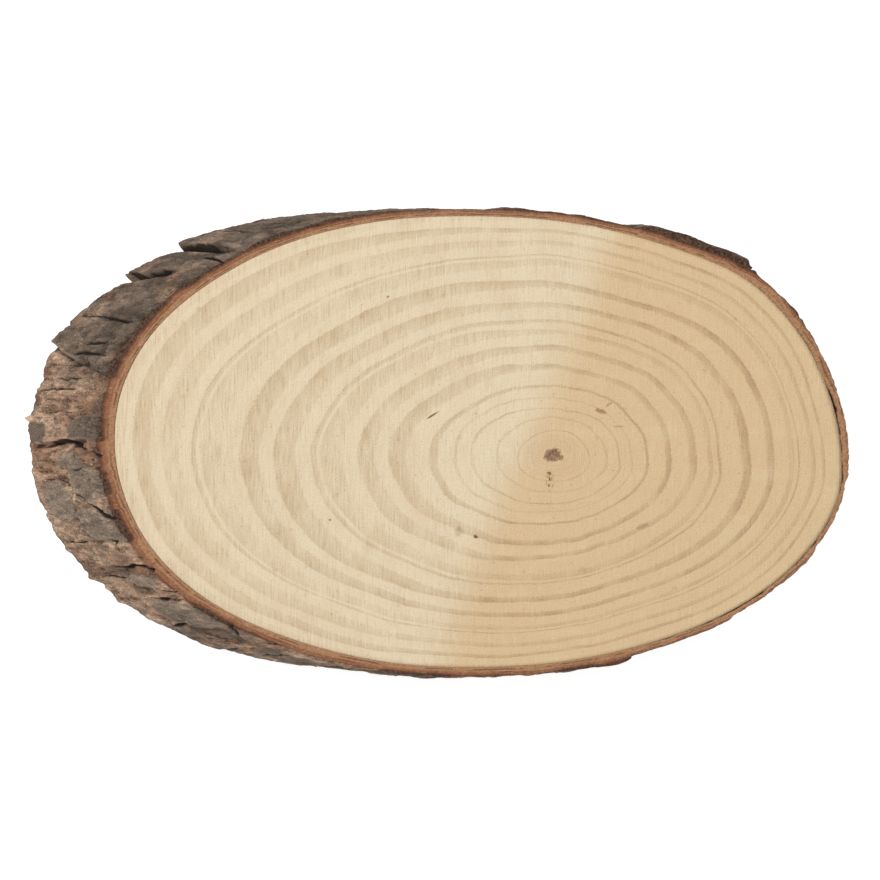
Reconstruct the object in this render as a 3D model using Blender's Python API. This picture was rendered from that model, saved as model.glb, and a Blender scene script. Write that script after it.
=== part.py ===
"""Oval slice of a tree trunk with its bark on, sawn aslant and lying flat on its lower face.

Metres, +Z up, origin at the middle of the bounding box's base. +X runs along the oval's length,
towards the end where the sawn face overhangs. The trunk is nearly round. Its axis leans over
towards +X, so two level cuts through it leave an oval slice whose sides slope like the axis.

Any point of the trunk is given by three numbers: its angle round the axis (0 at +X, 90 degrees
at +Y), its radius square to the axis, and its height above the lower face.
"""

import math
from collections import namedtuple

import bmesh
import bpy
import numpy as np

MM = 0.001

# The cuts
THICKNESS = 18.0 * MM
TRUNK_LEAN = math.radians(51.5)
AXIS_LENGTH = THICKNESS / math.cos(TRUNK_LEAN)
FACE_SLIDE = THICKNESS * math.tan(TRUNK_LEAN)

# The wood's outline, as the trunk's radius every 15 degrees
WOOD_RADII_MM = (
    67.7, 67.2, 68.4, 69.8, 68.5, 67.9, 67.6, 68.5, 69.2, 69.0, 68.9, 68.3,
    67.8, 68.0, 68.9, 69.3, 68.7, 68.4, 67.8, 68.1, 68.7, 69.1, 68.8, 68.4,
)  # fmt: skip
MEAN_RADIUS = sum(WOOD_RADII_MM) / len(WOOD_RADII_MM) * MM
WOOD_COLUMNS = 300

# The pith stands off the trunk's axis, and its soft core has sunk a little at both faces
PITH_ACROSS = 14.1 * MM
PITH_UP = -4.1 * MM
PITH_RADIUS = 2.2 * MM
PITH_DEPTH = 1.1 * MM

# The bark: a thin inner layer all round, under plates of outer bark
BARK_GAP = 0.3 * MM
INNER_BARK = 1.7 * MM
RIM_SHARE = 0.55
CHIP_DEPTH = 0.5 * MM
CHIP_SPREAD = 0.35 * MM
BROAD_EDGE = 2.6 * MM
SHARP_EDGE = 0.8 * MM
FLAKE_EDGE = 2.6 * MM
SWELL_DEPTH = 0.32 * MM
SWELL_AROUND = 9.0 * MM
SWELL_ALONG = 15.0 * MM
WANDER_DEGREES = 1.1
WANDER_ALONG = 7.0 * MM
NOISE_CELLS = 32

# The bark's grid: rows down the outside, and columns that keep to the plates' edges
SIDE_ROWS = 13
FIRST_COLUMN = 0.7 * MM
COLUMN_SPACING = 1.5 * MM

# Plates of outer bark, anticlockwise. Each starts at an angle at mid height, and its start leans by
# so many degrees from the upper face to the lower one. Its surface goes from one height over the
# wood at its start to another at its end, where it stops in a lip. Past a share of the way down,
# its outer layer has flaked off to a depth, or where that is negative, upwards of there.
Plate = namedtuple("Plate", "start lean first_mm last_mm flake_at flake_mm")
PLATES = (
    Plate(12.0, 1.0, 1.9, 2.3, 0.5, 0.0),
    Plate(29.0, -2.0, 2.4, 2.7, 0.6, 0.4),
    Plate(45.0, 0.0, 5.0, 4.4, 0.4, 0.8),
    Plate(66.0, 3.0, 2.6, 2.4, 0.3, 0.4),
    Plate(85.0, -2.0, 2.5, 2.7, 0.5, -0.5),
    Plate(104.0, 2.0, 2.9, 5.1, 0.3, -0.6),
    Plate(126.5, -1.5, 3.4, 4.6, 0.5, -0.4),
    Plate(135.0, 3.5, 3.5, 4.7, 0.4, 0.3),
    Plate(160.5, -8.5, 3.1, 3.3, 0.3, -0.5),
    Plate(180.5, 1.5, 4.3, 4.2, 0.45, 0.9),
    Plate(205.0, 3.0, 3.2, 3.5, 0.6, 0.5),
    Plate(221.0, 2.5, 3.8, 3.9, 0.7, 0.8),
    Plate(240.0, 3.0, 3.5, 3.2, 0.5, -0.5),
    Plate(254.0, -2.0, 2.7, 3.1, 0.4, 0.5),
    Plate(275.0, 3.0, 2.6, 3.4, 0.5, 0.7),
    Plate(293.0, -3.0, 2.5, 3.0, 0.6, -0.6),
    Plate(315.0, 2.0, 2.1, 2.4, 0.5, 0.0),
    Plate(333.0, -2.0, 1.9, 2.1, 0.5, 0.0),
    Plate(352.0, 0.0, 2.3, 2.1, 0.5, 0.0),
)


def wood_radius(angle):
    """Radius of the wood at an angle in degrees: a smooth closed curve through WOOD_RADII_MM.

    Each stretch between two radii is a cubic whose ends take the slope of the radii beside them.
    """
    radii = np.array(WOOD_RADII_MM) * MM
    place = np.asarray(angle, float) / 360.0 * len(radii)
    whole = np.floor(place).astype(int)
    share = place - whole
    before, here, after, beyond = (radii[(whole + step) % len(radii)] for step in (-1, 0, 1, 2))
    slope_here = (after - before) / 2
    slope_after = (beyond - here) / 2
    return (
        here * (1 + 2 * share) * (1 - share) ** 2
        + slope_here * share * (1 - share) ** 2
        + after * share**2 * (3 - 2 * share)
        - slope_after * share**2 * (1 - share)
    )


def place_on_trunk(angle, radius, height):
    """Points in space of trunk angles in degrees, radii and heights. The upper face is centred."""
    turn = np.radians(angle)
    across = radius * np.cos(turn) / math.cos(TRUNK_LEAN)
    slide = (height / THICKNESS - 1.0) * FACE_SLIDE
    return np.stack(np.broadcast_arrays(across + slide, radius * np.sin(turn), height), axis=-1)


def smooth_noise(x, y, z, seed):
    """Soft noise from -1 to 1: a random value at each whole-number corner, blended between them."""
    values = np.random.default_rng(seed).uniform(-1.0, 1.0, (NOISE_CELLS,) * 3)
    point = np.stack(np.broadcast_arrays(x, y, z), axis=-1)
    corner = np.floor(point).astype(int)
    share = point - corner
    share = share * share * (3 - 2 * share)
    total = np.zeros(point.shape[:-1])
    for step in np.ndindex(2, 2, 2):
        weight = np.prod(np.where(step, share, 1 - share), axis=-1)
        total += weight * values[tuple(np.moveaxis((corner + step) % NOISE_CELLS, -1, 0))]
    return total


def ramp(value):
    """Rises smoothly from 0 to 1 as the value goes from 0 to 1."""
    value = np.clip(value, 0.0, 1.0)
    return value * value * (3 - 2 * value)


def arc_length(degrees):
    """Distance round the trunk that an angle stands for."""
    return np.radians(degrees) * MEAN_RADIUS


def plate_starts(along):
    """Angle at which each plate starts, at a distance down the axis. It leans and wanders."""
    reach = along / AXIS_LENGTH - 0.5
    starts = []
    for number, plate in enumerate(PLATES):
        wander = WANDER_DEGREES * smooth_noise(along / WANDER_ALONG, number + 0.5, 0.5, seed=11)
        starts.append(plate.start + plate.lean * reach + wander)
    return starts


def plate_surface(plate, share, along):
    """Height of a plate's surface over the wood, at a share of the way from its start to its end."""
    surface = (plate.first_mm + (plate.last_mm - plate.first_mm) * share) * MM
    past_flake = ramp((along - plate.flake_at * AXIS_LENGTH) / FLAKE_EDGE + 0.5)
    if plate.flake_mm < 0:
        past_flake = 1.0 - past_flake
    return surface - abs(plate.flake_mm) * MM * past_flake


def bark_height(angle, along):
    """How far the bark stands over the wood at an angle and a distance down the axis.

    Both edges of a plate fall to the inner bark, gently at its start and sharply at its lip, and a
    soft swell is laid over the whole.
    """
    height = np.full(np.broadcast(angle, along).shape, INNER_BARK)
    starts = plate_starts(along)
    for plate, start, end in zip(PLATES, starts, starts[1:] + starts[:1]):
        width = (end - start) % 360.0
        past_start = (angle - start) % 360.0
        surface = plate_surface(plate, past_start / width, along)
        rise = ramp(arc_length(past_start) / BROAD_EDGE)
        fall = ramp(arc_length(width - past_start) / SHARP_EDGE)
        standing = INNER_BARK + (surface - INNER_BARK) * np.sqrt(rise * fall)
        height = np.where(past_start < width, standing, height)
    turn = np.radians(angle)
    swell = smooth_noise(
        MEAN_RADIUS * np.cos(turn) / SWELL_AROUND,
        MEAN_RADIUS * np.sin(turn) / SWELL_AROUND,
        along / SWELL_ALONG,
        seed=23,
    )
    return height + SWELL_DEPTH * swell


def bark_columns(along):
    """Angles of the grid's columns at a distance down the axis.

    Each plate has a column at its start, one close past it, one at the top of its lip, and even
    steps between, so that the edges follow the grid wherever the plates lean and wander.
    """
    nominal = [plate.start for plate in PLATES] + [PLATES[0].start + 360.0]
    starts = plate_starts(along)
    starts.append(starts[0] + 360.0)
    angles = []
    for number in range(len(PLATES)):
        width = arc_length(nominal[number + 1] - nominal[number])
        steps = round(width / COLUMN_SPACING)
        places = np.append(0.0, np.linspace(FIRST_COLUMN, width - SHARP_EDGE, steps))
        angles.extend(starts[number] + (starts[number + 1] - starts[number]) * places / width)
    return np.array(angles)


def bark_section():
    """The bark's grid of points, row by row round its cross-section, which closes on itself.

    Up the inner wall, out over the sawn rim, and down the rough outside to the sawn base.
    """
    middle_columns = bark_columns(AXIS_LENGTH / 2)
    inner = wood_radius(middle_columns) + BARK_GAP
    rim_columns = bark_columns(0.0)
    rim_height = bark_height(rim_columns, 0.0)
    rim_middle = wood_radius(rim_columns) + BARK_GAP + RIM_SHARE * (rim_height - BARK_GAP)
    rows = [
        place_on_trunk(middle_columns, inner, 0.0),
        place_on_trunk(middle_columns, inner, THICKNESS),
        place_on_trunk(rim_columns, rim_middle, THICKNESS),
    ]
    turn = np.radians(middle_columns)
    chips = CHIP_SPREAD * smooth_noise(9 * np.cos(turn), 9 * np.sin(turn), 0.5, seed=37)
    outer_top = THICKNESS - CHIP_DEPTH - chips
    for share in np.linspace(1.0, 0.0, SIDE_ROWS):
        columns = bark_columns(AXIS_LENGTH * (1.0 - share))
        height = outer_top * share
        along = (THICKNESS - height) / math.cos(TRUNK_LEAN)
        outer = wood_radius(columns) + bark_height(columns, along)
        rows.append(place_on_trunk(columns, outer, height))
    return np.array(rows)


def material(name, colour, roughness):
    """A plain material of one colour."""
    made = bpy.data.materials.new(name)
    made.use_nodes = True
    shader = made.node_tree.nodes["Principled BSDF"]
    shader.inputs["Base Color"].default_value = (*colour, 1.0)
    shader.inputs["Roughness"].default_value = roughness
    shader.inputs["Metallic"].default_value = 0.0
    return made


def new_object(name, shape, collection, finish):
    """An object of a bmesh, in its collection and with its material. Frees the bmesh."""
    mesh = bpy.data.meshes.new(name)
    shape.to_mesh(mesh)
    shape.free()
    made = bpy.data.objects.new(name, mesh)
    collection.objects.link(made)
    if finish is not None:
        mesh.materials.append(finish)
    return made


def make_wood(collection):
    """The wood: its outline at the lower face, filled and extruded along the leaning axis."""
    shape = bmesh.new()
    angles = np.arange(WOOD_COLUMNS) * 360.0 / WOOD_COLUMNS
    outline = place_on_trunk(angles, wood_radius(angles), 0.0)
    lower = shape.faces.new([shape.verts.new(point) for point in outline])
    raised = bmesh.ops.extrude_face_region(shape, geom=[lower], use_keep_orig=True)
    upper = [item for item in raised["geom"] if isinstance(item, bmesh.types.BMVert)]
    bmesh.ops.translate(shape, vec=(FACE_SLIDE, 0.0, THICKNESS), verts=upper)
    bmesh.ops.recalc_face_normals(shape, faces=shape.faces)
    finish = material("pale_wood", (0.72, 0.57, 0.36), 0.65)
    return new_object("wood", shape, collection, finish)


def make_pith_cutter(name, height, collection):
    """A flat pip that sinks the pith into one face. The lean stretches it into an oval."""
    shape = bmesh.new()
    bmesh.ops.create_uvsphere(shape, u_segments=20, v_segments=10, radius=1.0)
    size = (PITH_RADIUS / math.cos(TRUNK_LEAN), PITH_RADIUS, PITH_DEPTH)
    bmesh.ops.scale(shape, vec=size, verts=shape.verts)
    slide = (height / THICKNESS - 1.0) * FACE_SLIDE
    middle = (PITH_ACROSS / math.cos(TRUNK_LEAN) + slide, PITH_UP, height)
    bmesh.ops.translate(shape, vec=middle, verts=shape.verts)
    cutter = new_object(name, shape, collection, None)
    cutter.hide_render = True
    cutter.display_type = "WIRE"
    return cutter


def sink_pith(wood, cutters):
    """Cuts the sunken pith into the upper and the lower face."""
    for name, height in (("upper_pith", THICKNESS), ("lower_pith", 0.0)):
        cut = wood.modifiers.new(name, "BOOLEAN")
        cut.operation = "DIFFERENCE"
        cut.solver = "EXACT"
        cut.object = make_pith_cutter(name, height, cutters)


def make_bark(collection):
    """The bark: a flat grid rolled round the trunk and round its own cross-section, then seamed."""
    points = bark_section()
    rows, columns = points.shape[:2]
    shape = bmesh.new()
    bmesh.ops.create_grid(shape, x_segments=columns, y_segments=rows, size=0.5)
    for vertex in shape.verts:
        column = round((vertex.co.x + 0.5) * columns) % columns
        row = round((vertex.co.y + 0.5) * rows) % rows
        vertex.co = points[row, column]
    bmesh.ops.remove_doubles(shape, verts=shape.verts, dist=0.01 * MM)
    bmesh.ops.recalc_face_normals(shape, faces=shape.faces)
    finish = material("brown_bark", (0.19, 0.12, 0.08), 0.9)
    return new_object("bark", shape, collection, finish)


def centre_on_base(parts, reference):
    """Moves every part so that the reference's bounding box stands centred on the origin."""
    corners = np.array([vertex.co for vertex in reference.data.vertices])
    middle = (corners.min(axis=0) + corners.max(axis=0)) / 2
    for part in parts:
        for vertex in part.data.vertices:
            vertex.co.x -= middle[0]
            vertex.co.y -= middle[1]


def main():
    for old in list(bpy.data.objects):
        bpy.data.objects.remove(old)
    slice_parts = bpy.data.collections.new("wood_slice")
    cutters = bpy.data.collections.new("cutters")
    for collection in (slice_parts, cutters):
        bpy.context.scene.collection.children.link(collection)
    wood = make_wood(slice_parts)
    bark = make_bark(slice_parts)
    sink_pith(wood, cutters)
    centre_on_base([wood, bark, *cutters.objects], bark)
    for part in (wood, bark):
        part.data.shade_smooth()
        part.data.set_sharp_from_angle(angle=math.radians(40))


main()
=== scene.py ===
"""The oval slice of trunk as photographed from straight above, on a plain pale floor.

Places on the trunk are given by an angle round its leaning axis (0 at +X, 90 degrees at +Y), a
radius square to that axis, and a distance down the axis from the upper sawn face. Metres.
"""

import math
from collections import namedtuple

import bpy
import numpy as np
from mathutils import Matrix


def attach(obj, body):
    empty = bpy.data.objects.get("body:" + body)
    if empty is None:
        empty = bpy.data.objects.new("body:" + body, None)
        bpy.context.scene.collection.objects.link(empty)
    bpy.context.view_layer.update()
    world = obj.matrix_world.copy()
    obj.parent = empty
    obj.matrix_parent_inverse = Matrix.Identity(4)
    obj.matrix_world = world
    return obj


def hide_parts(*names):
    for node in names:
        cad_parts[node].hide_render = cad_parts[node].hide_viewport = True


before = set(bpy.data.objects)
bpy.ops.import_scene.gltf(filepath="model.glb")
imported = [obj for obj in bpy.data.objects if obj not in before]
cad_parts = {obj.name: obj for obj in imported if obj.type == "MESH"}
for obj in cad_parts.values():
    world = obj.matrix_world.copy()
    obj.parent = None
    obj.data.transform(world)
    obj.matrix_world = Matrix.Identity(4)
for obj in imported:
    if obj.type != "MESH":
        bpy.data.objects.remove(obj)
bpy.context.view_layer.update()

MM = 0.001

# The cuts and the trunk's axis
THICKNESS = 18.0 * MM
TRUNK_LEAN = math.radians(51.5)
AXIS_LENGTH = THICKNESS / math.cos(TRUNK_LEAN)
FACE_SLIDE = THICKNESS * math.tan(TRUNK_LEAN)
AXIS_X = 12.3 * MM
AXIS_Y = 0.28 * MM

# The wood's outline, as the trunk's radius every 15 degrees
WOOD_RADII_MM = (
    67.7, 67.2, 68.4, 69.8, 68.5, 67.9, 67.6, 68.5, 69.2, 69.0, 68.9, 68.3,
    67.8, 68.0, 68.9, 69.3, 68.7, 68.4, 67.8, 68.1, 68.7, 69.5, 69.8, 69.5,
)  # fmt: skip
MEAN_RADIUS = sum(WOOD_RADII_MM) / len(WOOD_RADII_MM) * MM

# The pith, measured on the upper face from the trunk's axis
PITH_X = 22.6 * MM
PITH_Y = -4.1 * MM
PITH_RADIUS = 2.2 * MM
PITH_DEPTH = 0.8 * MM

# Growth rings from the pith out: how dark the late wood is, and how far the ring lies on the way
# from the pith to the bark, in hundredths, every 30 degrees
Ring = namedtuple("Ring", "dark reach")
RINGS = (
    Ring(0.30, (3.2, 3.0, 2.9, 2.7, 2.4, 2.0, 2.0, 2.6, 3.0, 3.2, 3.4, 3.4)),
    Ring(0.25, (5.3, 5.0, 4.8, 4.4, 3.9, 3.3, 3.4, 4.2, 4.9, 5.2, 5.7, 5.7)),
    Ring(0.30, (7.5, 7.0, 6.8, 6.4, 5.6, 4.8, 4.9, 6.1, 7.1, 7.6, 8.2, 8.3)),
    Ring(0.25, (9.9, 9.1, 8.9, 8.3, 7.3, 6.2, 6.3, 7.9, 9.3, 9.9, 10.8, 10.9)),
    Ring(0.95, (12.5, 11.3, 11.2, 10.5, 9.2, 7.8, 8.0, 10.0, 11.7, 12.5, 13.6, 13.8)),
    Ring(0.45, (19.0, 17.3, 16.8, 16.5, 15.0, 13.2, 13.0, 14.7, 17.0, 18.0, 19.4, 19.3)),
    Ring(0.75, (23.4, 22.1, 20.5, 20.0, 19.2, 18.6, 18.9, 20.5, 22.7, 23.8, 24.4, 24.3)),
    Ring(0.45, (27.8, 25.7, 25.1, 24.6, 23.5, 22.2, 22.7, 25.0, 27.0, 27.4, 28.3, 28.3)),
    Ring(0.90, (33.2, 31.1, 30.6, 29.7, 28.3, 26.0, 28.1, 30.5, 32.4, 33.2, 33.7, 33.3)),
    Ring(0.75, (41.0, 40.2, 38.7, 38.6, 37.3, 34.8, 37.3, 39.1, 41.9, 42.7, 42.8, 41.8)),
    Ring(0.70, (50.0, 48.4, 46.7, 47.0, 44.3, 41.9, 44.3, 47.0, 49.7, 48.9, 48.9, 49.5)),
    Ring(0.45, (55.6, 54.9, 53.8, 53.5, 51.8, 49.7, 52.9, 55.1, 58.3, 59.2, 58.9, 56.7)),
    Ring(0.80, (58.3, 57.8, 57.5, 57.8, 55.3, 51.9, 54.9, 57.2, 60.5, 60.7, 60.3, 59.2)),
    Ring(0.85, (68.9, 67.0, 65.2, 65.0, 62.6, 59.9, 63.7, 66.7, 68.9, 69.1, 68.0, 69.3)),
    Ring(0.90, (77.0, 76.1, 73.1, 74.0, 71.8, 68.3, 71.3, 73.4, 75.4, 76.5, 75.3, 76.7)),
    Ring(0.45, (83.7, 84.2, 82.9, 83.3, 79.6, 76.9, 80.6, 80.0, 81.6, 82.2, 81.1, 82.6)),
    Ring(0.80, (85.3, 85.6, 84.8, 85.1, 81.5, 78.6, 82.6, 81.5, 83.2, 83.7, 82.6, 84.2)),
    Ring(0.50, (90.5, 91.0, 90.2, 90.8, 88.6, 86.3, 89.4, 89.2, 89.4, 90.2, 89.2, 90.6)),
    Ring(0.75, (93.6, 95.6, 95.2, 95.6, 95.0, 95.3, 95.9, 95.8, 95.0, 94.8, 94.5, 94.8)),
)
LAST_RING_DARK = 0.35
RING_ROWS = 4
RING_WAVER = 0.006
FACE_COLUMNS = 540
WOOD_WALL = (0.2, 0.4, 0.6, 0.8)

# The sawn faces' relief, and the side, as seen from the pith, where the late wood is broadest
FACE_SINK = 0.02 * MM
LATE_RELIEF = 0.01 * MM
FACE_TEXTURE = 0.04 * MM
EDGE_ROUNDING = 0.04 * MM
BROAD_SIDE = 168.0

# Plates of outer bark, anticlockwise. Each starts at an angle at mid height, and its start leans by
# so many degrees from the upper face to the lower one. Its surface goes from one height over the
# wood at its start to another at its end, where it stops in a lip that is open from one share of
# the way down to another, by so much. Past a share of the way down its outer layer has flaked off
# to a depth, or where that is negative, upwards of there. Last is how far the weathered grey skin
# has come off it, showing pink-brown bark.
Plate = namedtuple("Plate", "start lean first_mm last_mm lip_from lip_to lip flake_at flake_mm bare")
PLATES = (
    Plate(12, 1, 1.9, 2.3, 0.2, 0.8, 0.5, 0.5, 0, 0.9),
    Plate(29, -2, 2.4, 2.7, 0, 1, 0.8, 0.6, 0.4, 0.4),
    Plate(45, 0, 5, 4.4, 0, 0.7, 0.6, 0.4, 0.8, 0.1),
    Plate(66, 3, 2.6, 2.4, 0.3, 1.1, 0.7, 0.3, 0.4, 0.3),
    Plate(85, -2, 2.5, 2.7, 0, 0.6, 0.8, 0.5, -0.5, 0.2),
    Plate(104, 2, 2.9, 5.1, 0.12, 1.1, 1, 0.3, -0.6, 0.1),
    Plate(126.5, -1.5, 3.4, 4.6, 0.42, 1.1, 1, 0.5, -0.4, 0.15),
    Plate(135, 3.5, 3.5, 4.7, 0.45, 1.1, 0.8, 0.4, 0.3, 0.1),
    Plate(160.5, -8.5, 3.2, 3.5, 0.5, 1.1, 0.4, 0.3, -0.5, 0.75),
    Plate(165.6, -3, 3, 3.6, 0.35, 1, 0.45, 0.5, 0.3, 0.85),
    Plate(169.8, -1, 3.1, 3.6, 0.15, 0.95, 0.9, 0.4, -0.4, 0.8),
    Plate(180.5, 1.5, 3.6, 4, 0.3, 0.8, 0.3, 0.45, 0.6, 0.75),
    Plate(205, 3, 3.3, 3.5, 0.2, 0.8, 0.45, 0.6, 0.5, 0.9),
    Plate(213, 5, 3.2, 3.6, 0, 0.6, 0.5, 0.5, 0.4, 0.75),
    Plate(221, 2.5, 3.7, 3.9, 0.25, 0.9, 0.45, 0.6, 0.7, 0.65),
    Plate(229.5, -4, 3.5, 3.8, 0.3, 1.1, 0.5, 0.5, -0.5, 0.65),
    Plate(240, 3, 3.5, 3.2, 0, 0.6, 0.6, 0.5, -0.5, 0.7),
    Plate(254, -2, 2.7, 3.1, 0.2, 1.1, 0.9, 0.4, 0.5, 0.35),
    Plate(275, 3, 2.6, 3.4, 0, 0.7, 0.6, 0.5, 0.7, 0.5),
    Plate(293, -3, 2.5, 3, 0.3, 1.1, 0.8, 0.6, -0.6, 0.4),
    Plate(315, 2, 1.8, 1.6, 0.1, 0.7, 0.5, 0.5, 0, 0.7),
    Plate(333, -2, 1.2, 1.1, 0.4, 1.1, 0.7, 0.5, 0, 0.9),
    Plate(352, 0, 1.6, 2.1, 0.1, 0.6, 0.5, 0.5, 0, 1),
)
INNER_BARK = 1.7 * MM
OVERLAP = 0.06 * MM
RIM_SHARE = 0.55
RIM_SINK = 0.04 * MM
RIM_PITS = 0.09 * MM
CHIP_DEPTH = 0.5 * MM
CHIP_SPREAD = 0.2 * MM
FINE_CHIPS = 0.1 * MM
LEAST_CHIP = 0.1 * MM
CRUMBLE_DEPTH = 0.35 * MM
CRUMBLE_ZONE = 3.0 * MM
BROAD_EDGE = 2.6 * MM
SHARP_EDGE = 0.8 * MM
LIP_RUNOVER = 3.5 * MM
RIM_ZONE = 3.0 * MM
WEAR = 0.65
WORN_DOWN_TO = 2.5 * MM
FLAKE_EDGE = 2.6 * MM
SWELL_DEPTH = 0.32 * MM
SWELL_AROUND = 9.0 * MM
SWELL_ALONG = 15.0 * MM
WANDER_DEGREES = 0.7
WANDER_ALONG = 7.0 * MM
NOISE_CELLS = 32

# The bark's finer relief. Its grid is finer on the side that the photograph shows.
FINE_SPACING = 0.32 * MM
WIDE_SPACING = 0.56 * MM
FINE_FROM = 100.0
FINE_TO = 250.0
SIDE_ROWS = 70
RIM_ROWS = 9
BASE_ROWS = 4
WALL_CLIMBS = (0.5, 0.98)
BAND_ROWS = (RIM_ROWS, SIDE_ROWS, BASE_ROWS, len(WALL_CLIMBS))
CELL_AROUND = 7.0 * MM
CELL_ALONG = 11.0 * MM
CELL_CRACK = 0.55 * MM
CELL_DEPTH = 0.22 * MM
TERRACE_DEPTH = 0.3 * MM
SCALE_DEPTH = 0.13 * MM
PAD_HEIGHT = 0.35 * MM
RIDGE_DEPTH = 0.16 * MM
GRAIN_DEPTH = 0.2 * MM
HOLLOW_DEPTH = 0.55 * MM
THINNEST = 0.5 * MM

# Cracks in the bark: width and depth in millimetres, and the places they run through, each an
# angle and a distance in millimetres down the axis
Crack = namedtuple("Crack", "width_mm depth_mm places")
CRACKS = (
    Crack(0.5, 0.6, ((115.5, 4), (116, 14), (116.5, 26))),
    Crack(0.5, 0.5, ((121.5, 6), (120.3, 16), (121, 27))),
    Crack(1, 1.5, ((128.1, 6.6), (126.6, 14), (126.2, 20), (126, 29))),
    Crack(0.8, 1.1, ((132, -1.6), (130.4, 6), (129.4, 11.7))),
    Crack(0.9, 1.4, ((134.8, 12.8), (135.8, 17.9), (136.2, 21.3), (135.5, 29))),
    Crack(0.6, 0.9, ((150.3, 1.5), (150.8, 3.1), (149.7, 10.4), (148.8, 16.4), (148.4, 28))),
    Crack(0.7, 0.7, ((155.8, 4), (156.3, 14.8))),
    Crack(0.8, 0.8, ((159.4, 2), (158.5, 13.3), (158.8, 17))),
    Crack(0.45, 0.45, ((161.6, 6), (161.4, 16), (161, 28))),
    Crack(0.5, 0.6, ((164.4, 8), (164.8, 16), (164.4, 24))),
    Crack(0.5, 0.6, ((167.4, 9), (167, 18), (167.6, 29))),
    Crack(0.45, 0.5, ((172.2, 16), (173, 21), (172.6, 27))),
    Crack(1, 1.4, ((182, 3.5), (180.8, 9.4), (179.9, 12.8), (180.4, 18.1), (181.8, 23))),
    Crack(0.8, 1.2, ((182.4, 1.5), (184.7, -0.5), (187.5, -1))),
    Crack(0.5, 0.6, ((182.5, 7.7), (184.6, 7.2))),
    Crack(0.55, 1, ((189, 17.6), (190.2, 14.2), (192, 12.1), (194.3, 13.5), (196.6, 13.9), (198.4, 16.3))),
    Crack(0.45, 0.6, ((192.2, 12.2), (193.2, 10.2), (194, 7.3), (195.4, 8.6))),
    Crack(1.1, 1.4, ((195.2, 6.2), (196.2, 4.4), (197.2, 3), (199.9, 0))),
    Crack(0.5, 0.6, ((187, 12.1), (186.9, 7.8), (186.4, 5.9), (187.9, 3.4))),
    Crack(0.4, 0.5, ((189, 17.6), (189.6, 21), (188.6, 25))),
    Crack(0.6, 0.8, ((204, 6.6), (205.2, 5), (207.6, 5.7))),
    Crack(0.5, 0.6, ((205.1, 27), (205.4, 22), (205, 17))),
    Crack(0.8, 1.1, ((211.7, 14), (211.9, 10.2), (211.2, 5), (211.6, 1.5), (213.9, -0.4))),
    Crack(0.5, 0.7, ((214.6, 24), (215, 17), (214.6, 12))),
    Crack(0.5, 0.7, ((217.2, 5.5), (218.2, 2.5), (219.4, -0.7))),
    Crack(0.6, 0.9, ((219.8, 13), (220.9, 8.4), (221.1, 0.7))),
    Crack(0.8, 1.2, ((230.8, 23), (229.8, 18), (228.6, 13.1))),
    Crack(0.8, 1.2, ((231.6, 18), (233.4, 16.4), (236.8, 14.4))),
    Crack(0.8, 1, ((229.1, -0.8), (232, 2.6), (235.8, 7.8))),
    Crack(0.5, 0.7, ((236.2, 4.8), (238.9, 0.4), (241.1, -3))),
    Crack(0.6, 0.8, ((243, 4), (243.6, 16), (244.5, 28))),
    Crack(0.6, 0.8, ((253, 3), (252, 14), (252.5, 26))),
)
HIDDEN_CRACKS = 22
HIDDEN_FROM = 258.0
HIDDEN_TO = 470.0

# Bits of bark that stick out: angle, distance down, height, and size around and along
Bit = namedtuple("Bit", "angle along_mm high_mm around_mm down_mm")
BITS = (
    Bit(174.4, 27.4, 1.5, 1.5, 2.4),
    Bit(187, 27, 1, 2.6, 2.6),
    Bit(207.5, 27.6, 0.9, 2, 2.2),
    Bit(214.6, 27.5, 1.1, 2, 2.4),
    Bit(218.4, 27, 0.7, 1.6, 2.4),
    Bit(206, 7, 0.6, 1.4, 1.2),
    Bit(356, 3, 0.8, 2, 2.4),
)

# Smooth pads of old grey bark still standing on the barer parts: middle, half size around and
# down, and how pale they are
Pad = namedtuple("Pad", "angle along_mm around_mm down_mm pale")
PADS = (
    Pad(176.8, 5, 4, 6, 0.2),
    Pad(177.6, 25, 3.2, 4, 0),
    Pad(184.8, 11, 2.4, 5, 0.7),
    Pad(190.2, 5.2, 4.6, 6.4, 0.7),
    Pad(194.8, 19.6, 5.2, 6, 0.9),
    Pad(200.8, 7, 4.8, 7.2, 0.6),
    Pad(215.4, 6, 2, 5, 0.9),
    Pad(226, 8, 5, 8.5, 0.6),
    Pad(232.5, 22.5, 3.4, 5, 0.5),
    Pad(245.5, 11, 5.5, 8, 0.4),
    Pad(262, 14, 5, 10, 0.5),
    Pad(283, 9, 5, 7, 0.4),
    Pad(305, 18, 5, 8, 0.6),
    Pad(326, 10, 4.5, 9, 0.3),
    Pad(347, 20, 5, 6, 0.6),
    Pad(20, 12, 5, 8, 0.4),
    Pad(38, 18, 4, 8, 0.5),
)

# Where bark and wood have parted: from one angle to another, and how wide the crack is
Parting = namedtuple("Parting", "start end width_mm")
PARTINGS = (
    Parting(-14.0, 18.0, 0.7),
    Parting(-66.0, -12.0, 0.45),
    Parting(16.0, 46.0, 0.3),
)

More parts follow.
